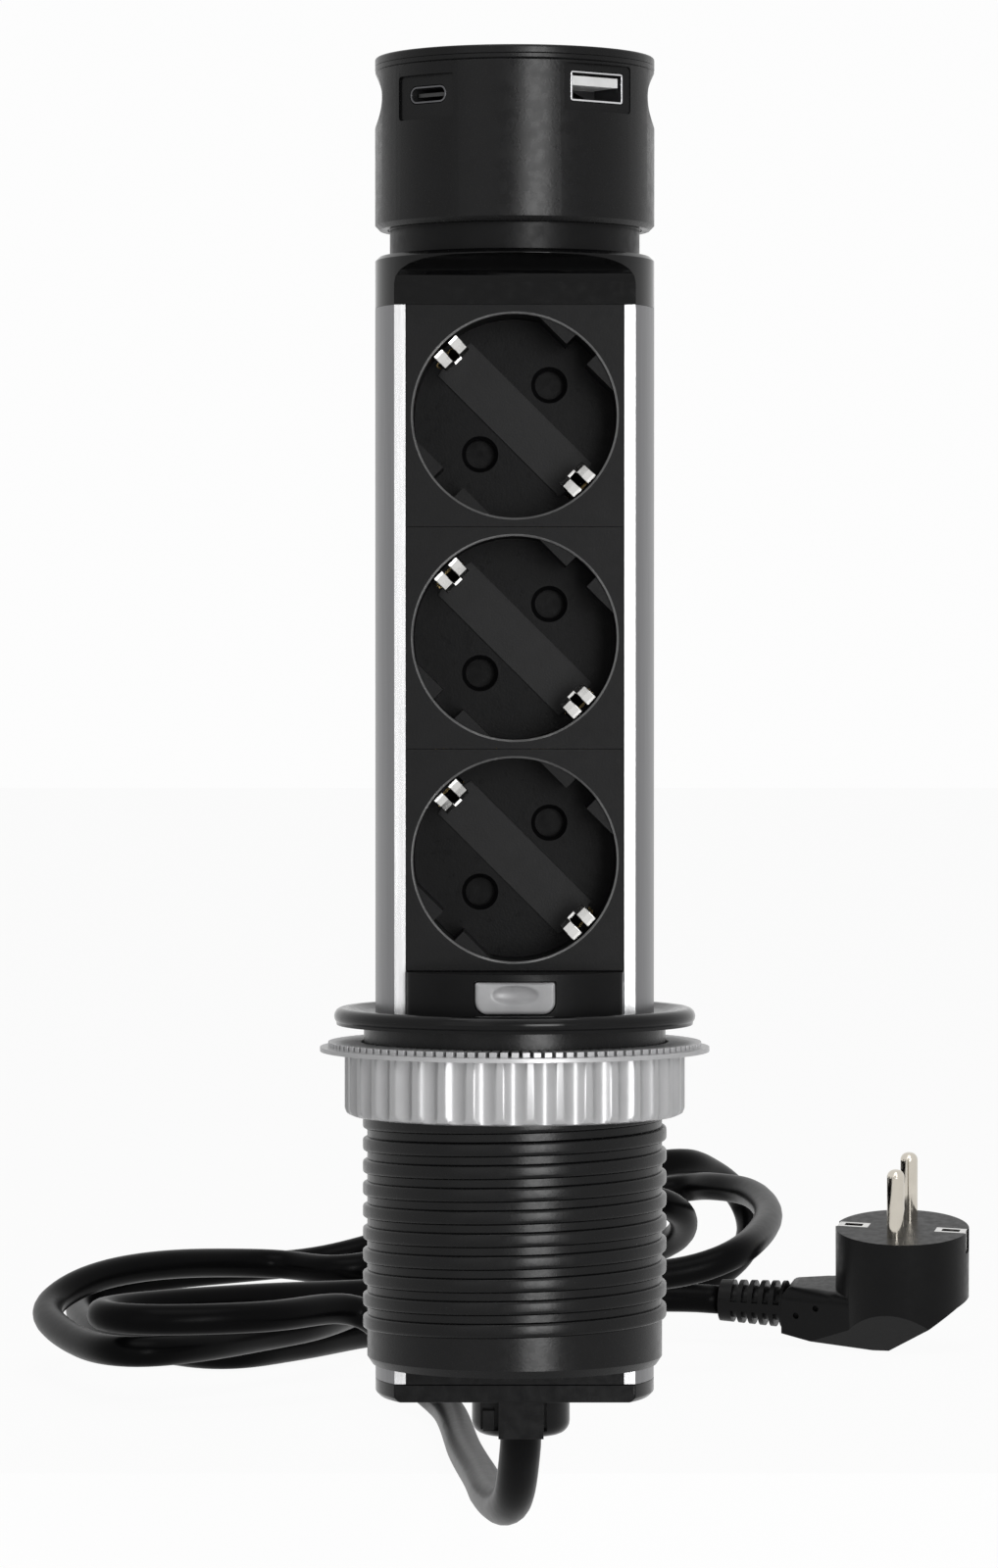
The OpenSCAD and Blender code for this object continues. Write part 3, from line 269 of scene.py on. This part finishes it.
port_dark = material("port_dark", (0.11, 0.11, 0.115), 0.28, metallic=1.0, grain=0.003)
# Dark colour for the insides of the ports, painted shade
port_painted_shade = material("port_painted_shade", (0.05, 0.05, 0.052), 0.4, metallic=0.8)
board_green = material("board_green", (0.02, 0.10, 0.05), 0.35, grain=0.01)
part_dark = material("part_dark", (0.10, 0.09, 0.03), 0.5)
wire_brown = material("wire_brown", (0.12, 0.05, 0.02), 0.4)
wire_blue = material("wire_blue", (0.03, 0.09, 0.35), 0.4)
wire_green = material("wire_green", (0.22, 0.38, 0.03), 0.4)
wire_red = material("wire_red", (0.35, 0.02, 0.02), 0.4)
cord_black = material("cord_black", (0.003, 0.003, 0.0032), 0.30, specular=0.035, grain=0.001, grain_size=1.2,
                      rough_spread=0.02)
plug_black = material("plug_black", (0.004, 0.004, 0.0042), 0.34, specular=0.12, grain=0.02, grain_size=0.5)

# The look of each CAD node
looks = {
    "flange_ring": flange_black, "threaded_sleeve": sleeve_black, "sleeve_thread": sleeve_black,
    "glide_pads": head_black, "thrust_ring": silver, "clamp_nut": silver, "tower_profile": wall_grey,
    "top_cap": gloss_black, "head_base": neck_black, "head_shell": head_black, "head_lid": head_black,
    "head_screws": steel, "usb_c_port": port_dark, "usb_c_tongue": tongue_black, "usb_a_port": port_metal,
    "usb_a_tongue": tongue_white, "charger_board": board_green, "charger_parts": part_dark,
    "shutter_springs": steel, "live_busbar": brass, "neutral_busbar": brass, "earth_rails": brass,
    "live_wire": wire_brown, "neutral_wire": wire_blue, "earth_wire": wire_green, "charger_wires": wire_red,
    "lower_block": socket_black, "release_button": button_grey, "button_spring": steel,
    "filler_panel": base_black, "base_cap": base_black, "base_screws": steel, "cable_gland": base_black,
    "gland_nut": base_black, "cord_lead": cord_black, "cord_hank": cord_black, "plug_body": plug_black,
    "plug_pins": nickel, "plug_earth_contacts": clip_metal,
}
for i in (1, 2, 3):
    looks[f"socket_insert_{i}"] = socket_black
    looks[f"pin_plate_{i}"] = plate_black
    looks[f"earth_clips_{i}"] = clip_metal
    looks[f"shutter_{i}"] = shutter_grey
    looks[f"contact_carrier_{i}"] = ivory
for name, obj in nodes.items():
    for slot in obj.material_slots:
        slot.material = looks[name]

# Cord: the same route as in the CAD model, in millimetres here and in metres below
plug_at = Vector((109, 486, -85.3))
plug_turn = (Matrix.Rotation(math.radians(-15), 3, "Z") @ Matrix.Rotation(math.radians(2), 3, "Y")
             @ Matrix.Rotation(math.radians(10), 3, "X"))
cord_d = 8
cord_start = Vector((1.2, -3, -74.304))
cord_out = cord_start + cord_d * Vector((0, 0.5, -0.866))
cord_end = plug_at + plug_turn @ Vector((-51.5, 0, -24.2))
cord_in = cord_end + cord_d * (plug_turn @ Vector((-1, 0, 0)))
route = [
    (0, 14, -93), (-2, 34, -98.5), (-5, 75, -102), (-7, 130, -106), (-11, 213, -111), (-16, 320, -115),
    (-26, 353, -110), (-38, 381, -97), (-63, 356, -96), (-92, 349, -96), (-106, 361, -96),
    (-97, 379, -96), (-65, 401, -96), (-39, 420, -97), (-8, 419, -95), (22, 424, -93.5), (47, 430, -92),
    (62, 437, -87), (72, 491, -83), (69, 535, -80), (58, 557, -80), (49, 570, -82), (9, 550, -87),
    (-41, 492, -97), (-66, 503, -97), (-95, 480, -95), (-115, 460, -97), (-125, 437, -103),
    (-114, 396, -106.5), (-99, 369, -106.5), (-82, 380, -106.5), (-65, 407, -106.5), (-50, 433, -106),
    (-32, 493, -105), (-13, 541, -105), (0, 573, -107), (24, 592, -111), (52, 596, -113),
    (66, 611, -109), (73, 625, -101), (71, 636, -91), (61, 616, -81), (46, 591, -76), (0, 578, -87),
    (-47, 548, -99), (-71, 554, -103), (-99, 546, -105), (-119, 553, -110), (-123, 533, -114),
    (-108, 477, -115), (-80, 436, -115), (-59, 456, -115), (-41, 487, -115), (-19, 518, -115),
    (7, 549, -108), (35, 549, -100), (49, 529, -91), (44, 503, -80), (14, 488, -75), (-13, 480, -81),
    (-26, 484, -92), (-13, 493, -102), (11, 501, -107), (34, 506, -107),
]
points = [cord_start, cord_out] + [Vector(p) for p in route] + [cord_in, cord_end]
path = [p * MM for p in eased(spline(points, 16), step=3, rounds=7, first=130, last=16)]
cord = add_object("mains_cord", tube_mesh("mains_cord", path, cord_d / 2 * MM, 20), cord_black)
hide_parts("cord_lead", "cord_hank")
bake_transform(cord)


def dressed(name, width):
    """Copy of a CAD node with its edges rounded, shown in the node's place. Width is in mm."""
    mesh = nodes[name].data.copy()
    work = bmesh.new()
    work.from_mesh(mesh)
    bmesh.ops.remove_doubles(work, verts=work.verts, dist=2e-6)
    bmesh.ops.dissolve_limit(work, angle_limit=math.radians(0.4), verts=work.verts, edges=work.edges)
    work.to_mesh(mesh)
    work.free()
    obj = add_object(name + "_dressed", mesh, looks[name])
    mesh.shade_smooth()
    mesh.set_sharp_from_angle(angle=EDGE_ANGLE)
    bevel = obj.modifiers.new("edges", "BEVEL")
    bevel.width = width * MM
    bevel.segments = 3
    bevel.limit_method = "ANGLE"
    bevel.angle_limit = EDGE_ANGLE
    bevel.use_clamp_overlap = True
    weigh = obj.modifiers.new("normals", "WEIGHTED_NORMAL")
    weigh.keep_sharp = True
    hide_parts(name)
    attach(obj, body_of[name])
    return obj


plug = dressed("plug_body", 0.8)

# The long edges along the top of the plug's neck get a larger radius
neck_top = -17.3
work = bmesh.new()
work.from_mesh(plug.data)
neck_edges = []
for edge in work.edges:
    ends = [plug_turn.transposed() @ (v.co / MM - plug_at) for v in edge.verts]
    on_neck = all(e.x < -5 and abs(e.z - neck_top) < 0.6 and abs(e.y) > 6 for e in ends)
    if on_neck and edge.calc_length() > 4 * MM:
        neck_edges.append(edge)
bmesh.ops.bevel(work, geom=neck_edges, offset=3.5 * MM, segments=6, profile=0.5, affect="EDGES",
                clamp_overlap=False)
work.to_mesh(plug.data)
work.free()
plug.data.shade_smooth()
plug.data.set_sharp_from_angle(angle=EDGE_ANGLE)

# Other CAD pieces with rounded edges
for name, width in (("top_cap", 0.25), ("head_lid", 0.25), ("lower_block", 0.3), ("base_cap", 0.25),
                    ("cable_gland", 0.4), ("thrust_ring", 0.1), ("head_shell", 0.2), ("head_base", 0.2),
                    ("gland_nut", 0.2)):
    dressed(name, width)

# Sockets: a painted highlight as a bright line on the chamfer round each recess, and a painted sheen as a
# lighter band across each floor
for i in (1, 2, 3):
    insert = dressed(f"socket_insert_{i}", 0.12)
    insert.data.materials.append(rim_painted_highlight)
    # Chamfer faces get the painted highlight
    for face in insert.data.polygons:
        out = math.hypot(face.center.x, face.center.z - socket_height(i) * MM) / MM
        if 19.3 < out < 20.3 and 0.2 < -face.normal.y < 0.95 and face.center.y < -13.2 * MM:
            face.material_index = 1
    plate = dressed(f"pin_plate_{i}", 0.25)
    plate.data.materials.append(band_painted_sheen)
    # Band faces get the painted sheen
    for face in plate.data.polygons:
        if face.center.y < 3.2 * MM:
            face.material_index = 1


# Release button: a front with rounded edges and an oval dimple, on a flange in the block's pocket
def arc_in(radius, distance):
    """How far a round of this radius stands out at a distance inside the edge."""
    return math.sqrt(max(0.0, radius ** 2 - (radius - distance) ** 2))


def button_mesh():
    low, top, half, flat, back = 3.3, 9.4, 7.6, 26.2, 20.0
    low_corner, top_corner, edge_round = 2.4, 0.5, 0.6
    dimple_z, dimple_half_x, dimple_half_z, dimple_depth = 7.0, 4.3, 1.75, 0.8
    columns, rows = 60, 32

    def half_at(z):
        if z - low < low_corner:
            return half - low_corner + arc_in(low_corner, z - low)
        if top - z < top_corner:
            return half - top_corner + arc_in(top_corner, top - z)
        return half

    def front(x, z, wide):
        edge = min(wide - abs(x), z - low, top - z)
        y = -flat
        if edge < edge_round:
            y += edge_round - arc_in(edge_round, max(edge, 0))
        oval = (x / dimple_half_x) ** 2 + ((z - dimple_z) / dimple_half_z) ** 2
        if oval < 1:
            y += dimple_depth * (1 - oval) ** 0.6
        return y

    verts, faces = [], []
    for j in range(rows + 1):
        z = low + (top - low) * (0.5 - 0.5 * math.cos(math.pi * j / rows))
        wide = max(half_at(z), 0.5)
        for i in range(columns + 1):
            x = -wide * math.cos(math.pi * i / columns)
            verts.append(Vector((x, front(x, z, wide), z)) * MM)
    for j in range(rows):
        for i in range(columns):
            a = j * (columns + 1) + i
            faces.append((a, a + 1, a + columns + 2, a + columns + 1))
    rim = ([i for i in range(columns + 1)]
           + [(j + 1) * (columns + 1) + columns for j in range(rows)]
           + [rows * (columns + 1) + columns - 1 - i for i in range(columns)]
           + [(rows - 1 - j) * (columns + 1) for j in range(rows - 1)])
    start = len(verts)
    for r in rim:
        verts.append(Vector((verts[r].x, -back * MM, verts[r].z)))
    n = len(rim)
    for k in range(n):
        faces.append((rim[k], start + k, start + (k + 1) % n, rim[(k + 1) % n]))
    faces.append(tuple(start + k for k in range(n)))
    add_box(verts, faces, (-9, -22, 1.9), (9, -20, 9.4), lambda p: p)
    return mesh_from("button_front", verts, faces)


button = add_object("button_front", button_mesh(), button_grey)
button.data.set_sharp_from_angle(angle=math.radians(50))
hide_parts("release_button")
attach(button, body_of["release_button"])

# Button spring as a round coil
coil_r, coil_z, coil_y, coil_long, coil_turns, per_turn = 2.2, 6.35, -12.3, 7.4, 5, 32
coil = []
for k in range(coil_turns * per_turn + 1):
    a = 2 * math.pi * k / per_turn
    y = coil_y - coil_long * k / (coil_turns * per_turn)
    coil.append(Vector((coil_r * math.cos(a), y, coil_z + coil_r * math.sin(a))) * MM)
spring = add_object("coil_spring", tube_mesh("coil_spring", coil, 0.3 * MM, 10), steel)
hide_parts("button_spring")
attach(spring, body_of["button_spring"])
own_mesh(spring)


def nut_mesh():
    """Clamp nut: flutes with rounded ridges between them, a chamfer below and a plain bore."""
    nut_r, bore, low, high, flutes, steps = 33.0, 29.8, -17.5, -5.25, 36, 24
    flute_at, flute_r, round_r = 34.3, 2.3, 0.45
    outline = []
    for k in range(flutes * steps):
        a = 2 * math.pi * k / (flutes * steps)
        off = (a + math.pi / flutes) % (2 * math.pi / flutes) - math.pi / flutes
        under = flute_r ** 2 - (flute_at * math.sin(off)) ** 2
        cut = flute_at * math.cos(off) - math.sqrt(under) if under > 0 else nut_r + 1
        soft = max(0.0, 1 - abs(cut - nut_r) / (2 * round_r))
        outline.append((a, min(cut, nut_r) - round_r / 2 * soft * soft))
    levels = [(low, 31.6), (low + 0.25, 32.2), (low + 0.5, 32.6), (low + 1.05, 32.85),
              (low + 1.6, nut_r), (high - 0.25, nut_r), (high, nut_r - 0.25)]
    verts, faces = [], []
    for z, limit in levels:
        for a, r in outline:
            kept = min(r, limit)
            verts.append(Vector((kept * math.cos(a), kept * math.sin(a), z)) * MM)
    for z in (high, low):
        for a, _ in outline:
            verts.append(Vector((bore * math.cos(a), bore * math.sin(a), z)) * MM)
    n = len(outline)
    rings = len(levels) + 2
    for j in range(rings):
        for k in range(n):
            a, b = j * n, (j + 1) % rings * n
            faces.append((a + k, a + (k + 1) % n, b + (k + 1) % n, b + k))
    return mesh_from("fluted_nut", verts, faces)


nut = add_object("fluted_nut", nut_mesh(), silver)
nut.data.set_sharp_from_angle(angle=math.radians(40))
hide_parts("clamp_nut")
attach(nut, body_of["clamp_nut"])

# Ports: the inside of each shell is painted darker as painted shade, and so is the block below the USB-A
# tongue
for name, turn, height in (("usb_c_port", 139.8, 178.0), ("usb_a_port", 217.4, 179.25)):
    port = dressed(name, 0.06)
    port.data.materials.append(port_painted_shade)
    along = Vector((-math.sin(math.radians(turn)), math.cos(math.radians(turn)), 0))
    for face in port.data.polygons:
        place = face.center - Vector((0, 0, height * MM))
        if face.normal.dot(place - along * place.dot(along)) < -1e-6:
            face.material_index = 1
tongue = dressed("usb_a_tongue", 0.1)
tongue.data.materials.append(port_painted_shade)
# The block below the tongue gets the painted shade too
for face in tongue.data.polygons:
    if face.center.z < 179.35 * MM:
        face.material_index = 1

# Extrusion: the two lips at the front are brighter than its round wall, a painted highlight on the faces
# turned to the front
extrusion = dressed("tower_profile", 0.12)
extrusion.data.materials.append(lip_painted_highlight)
for face in extrusion.data.polygons:
    if face.normal.y < -0.99 and face.center.y < -13.9 * MM:
        face.material_index = 1


# The plug's earth contacts: a plate with an oblong hole at the face, bent down at the plug's side
def contact_mesh():
    """Boxes in the plug's frame, given for one side in mm and mirrored for the other."""
    bars = (((9.4, 1.2, -0.75), (17.9, 2.2, 0.02)), ((9.4, -2.2, -0.75), (17.9, -1.2, 0.02)),
            ((9.4, -1.3, -0.75), (11.2, 1.3, 0.02)), ((16.2, -1.3, -0.75), (17.9, 1.3, 0.02)),
            ((17.2, -2.2, -5.9), (17.9, 2.2, -0.6)))
    verts, faces = [], []
    for side in (1, -1):
        for (x0, y0, z0), (x1, y1, z1) in bars:
            low = (min(side * x0, side * x1), y0, z0)
            high = (max(side * x0, side * x1), y1, z1)
            add_box(verts, faces, low, high, lambda p: plug_at + plug_turn @ p)
    return mesh_from("plug_contacts", verts, faces, smooth=False)


contacts = add_object("plug_contacts", contact_mesh(), clip_metal)
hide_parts("plug_earth_contacts")
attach(contacts, body_of["plug_earth_contacts"])


# The sleeve's thread as a smooth ridge with the CAD model's pitch and height
def thread_mesh():
    """Each point of the section is its share of the ridge's height and its share of the pitch."""
    pitch, root_r, crest_r, low, high, steps, sunk = 4.3, 28.62, 29.5, -59.7, -7.0, 160, 0.05
    count = int((high - low) / pitch * steps)
    section = [(0.0, 0.34), (0.35, 0.33), (0.8, 0.27), (0.95, 0.22), (1.0, 0.14),
               (1.0, -0.14), (0.95, -0.22), (0.8, -0.27), (0.35, -0.33), (0.0, -0.34)]
    verts, faces = [], []
    for k in range(count + 1):
        a = 2 * math.pi * k / steps
        z = low + k * pitch / steps
        fade = min(1, min(k, count - k) / (steps / 3))
        for out, up in section:
            r = root_r - sunk + (crest_r - root_r) * out * fade
            verts.append(Vector((r * math.cos(a), r * math.sin(a), z + up * pitch)) * MM)
    n = len(section)
    for k in range(count):
        for j in range(n - 1):
            faces.append((k * n + j, k * n + j + 1, (k + 1) * n + j + 1, (k + 1) * n + j))
    faces.append(tuple(range(n - 1, -1, -1)))
    faces.append(tuple(count * n + j for j in range(n)))
    return mesh_from("thread_ridge", verts, faces)


thread = add_object("thread_ridge", thread_mesh(), sleeve_black)
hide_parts("sleeve_thread")
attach(thread, body_of["sleeve_thread"])


# Earth clips: forked blades bent inwards, each from its front end back to the earth rail
def clip_mesh(name, height):
    """Two blades of one socket. Height is the socket's centre above the worktop, in mm."""
    shape = [(19.1, 2.4), (18.6, 2.5), (17.4, 3.3), (16.2, 4.3), (15.6, 5.3), (15.4, 6.4), (15.6, 8.0),
             (16.6, 12.0), (17.5, 15.8), (17.9, 17.5), (17.9, 20.5), (17.9, 32.2)]
    thick, slit, half, slit_last, face_y = 0.6, 0.8, 3.0, 5, -14
    diagonal = math.sqrt(0.5)
    verts, faces = [], []

    def strip(side, rows, v0, v1):
        base = len(verts)
        for i, (r, d) in enumerate(rows):
            before = rows[max(i - 1, 0)]
            after = rows[min(i + 1, len(rows) - 1)]
            along = Vector((after[0] - before[0], after[1] - before[1])).normalized()
            for off in (-thick / 2, thick / 2):
                for v in (v0, v1):
                    out = side * (r - along.y * off) * diagonal
                    across = v * diagonal
                    deep = face_y + d + along.x * off
                    verts.append(Vector((out + across, deep, height - out + across)) * MM)
        for i in range(len(rows) - 1):
            a = base + 4 * i
            for p, q in ((0, 1), (1, 3), (3, 2), (2, 0)):
                faces.append((a + p, a + q, a + 4 + q, a + 4 + p))
        faces.append((base, base + 2, base + 3, base + 1))
        end = base + 4 * (len(rows) - 1)
        faces.append((end, end + 1, end + 3, end + 2))

    for side in (-1, 1):
        strip(side, shape[:slit_last + 1], -half, -slit)
        strip(side, shape[:slit_last + 1], slit, half)
        strip(side, shape[slit_last:], -half, half)
    return mesh_from(name, verts, faces, smooth=False)


for i in (1, 2, 3):
    clips = add_object(f"clips_{i}", clip_mesh(f"clips_{i}", socket_height(i)), clip_metal)
    edge = clips.modifiers.new("edges", "BEVEL")
    edge.width = 0.15 * MM
    edge.segments = 2
    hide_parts(f"earth_clips_{i}")
    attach(clips, body_of[f"earth_clips_{i}"])


# Stage, world and lamps
def shown_rays(tree):
    """1 for rays from the camera, from glossy surfaces and through clear ones, else 0."""
    light_path = tree.nodes.new("ShaderNodeLightPath")
    first = tree.nodes.new("ShaderNodeMath")
    first.operation = "MAXIMUM"
    second = tree.nodes.new("ShaderNodeMath")
    second.operation = "MAXIMUM"
    tree.links.new(light_path.outputs["Is Camera Ray"], first.inputs[0])
    tree.links.new(light_path.outputs["Is Glossy Ray"], first.inputs[1])
    tree.links.new(first.outputs[0], second.inputs[0])
    tree.links.new(light_path.outputs["Is Transmission Ray"], second.inputs[1])
    return second.outputs[0]


def mix_in(tree, factor, hidden, shown, target):
    """Lead a mix of two shaders to the target: hidden where the factor is 0, shown where it is 1."""
    mix = tree.nodes.new("ShaderNodeMixShader")
    tree.links.new(factor, mix.inputs[0])
    tree.links.new(hidden.outputs[0], mix.inputs[1])
    tree.links.new(shown.outputs[0], mix.inputs[2])
    tree.links.new(mix.outputs[0], target.inputs["Surface"])


# A ledge behind the tower that carries the hank, and a floor below it
ledge_top = -0.1195
floor_top = -0.300
stage_mat = bpy.data.materials.new("stage")
stage_mat.use_nodes = True
tree = stage_mat.node_tree
paint = tree.nodes["Principled BSDF"]
paint.inputs["Base Color"].default_value = (0.85, 0.85, 0.85, 1)
paint.inputs["Roughness"].default_value = 0.9
glow = tree.nodes.new("ShaderNodeEmission")
glow.inputs["Strength"].default_value = 1.0
weight = tree.nodes.new("ShaderNodeMath")
weight.operation = "MULTIPLY"
weight.inputs[1].default_value = 0.95
tree.links.new(shown_rays(tree), weight.inputs[0])
mix_in(tree, weight.outputs[0], paint, glow, tree.nodes["Material Output"])
steps = [(-3.0, floor_top), (0.19, floor_top), (0.215, floor_top + 0.025), (0.215, ledge_top - 0.02),
         (0.235, ledge_top), (9.0, ledge_top)]
verts = [(x, y, z) for y, z in steps for x in (-5, 5)]
faces = [(2 * k, 2 * k + 1, 2 * k + 3, 2 * k + 2) for k in range(len(steps) - 1)]
floor = add_object("stage_floor", mesh_from("stage_floor", verts, faces, smooth=False), stage_mat)

# The world is white where it is seen and dimmer where it lights the object
world = bpy.data.worlds.new("studio")
scene.world = world
world.use_nodes = True
tree = world.node_tree
seen = tree.nodes["Background"]
seen.inputs["Color"].default_value = (1, 1, 1, 1)
seen.inputs["Strength"].default_value = 0.98
lit = tree.nodes.new("ShaderNodeBackground")
lit.inputs["Color"].default_value = (1, 1, 1, 1)
lit.inputs["Strength"].default_value = 0.15
mix_in(tree, shown_rays(tree), lit, seen, tree.nodes["World Output"])


def area_light(name, at, target, size, power):
    data = bpy.data.lights.new(name, "AREA")
    data.shape = "RECTANGLE"
    data.size, data.size_y = size
    data.energy = power
    obj = bpy.data.objects.new(name, data)
    obj.location = at
    obj.rotation_euler = (Vector(target) - Vector(at)).to_track_quat("-Z", "Y").to_euler()
    scene.collection.objects.link(obj)


area_light("key", (0.46, -1.43, 0.08), (0, 0, 0.05), (0.55, 0.95), 19)
area_light("fill", (-0.9, -1.5, 0.5), (0, 0, 0.05), (1.0, 1.4), 2)
area_light("top", (0.0, -0.3, 1.5), (0, 0, 0.1), (1.2, 1.0), 8)
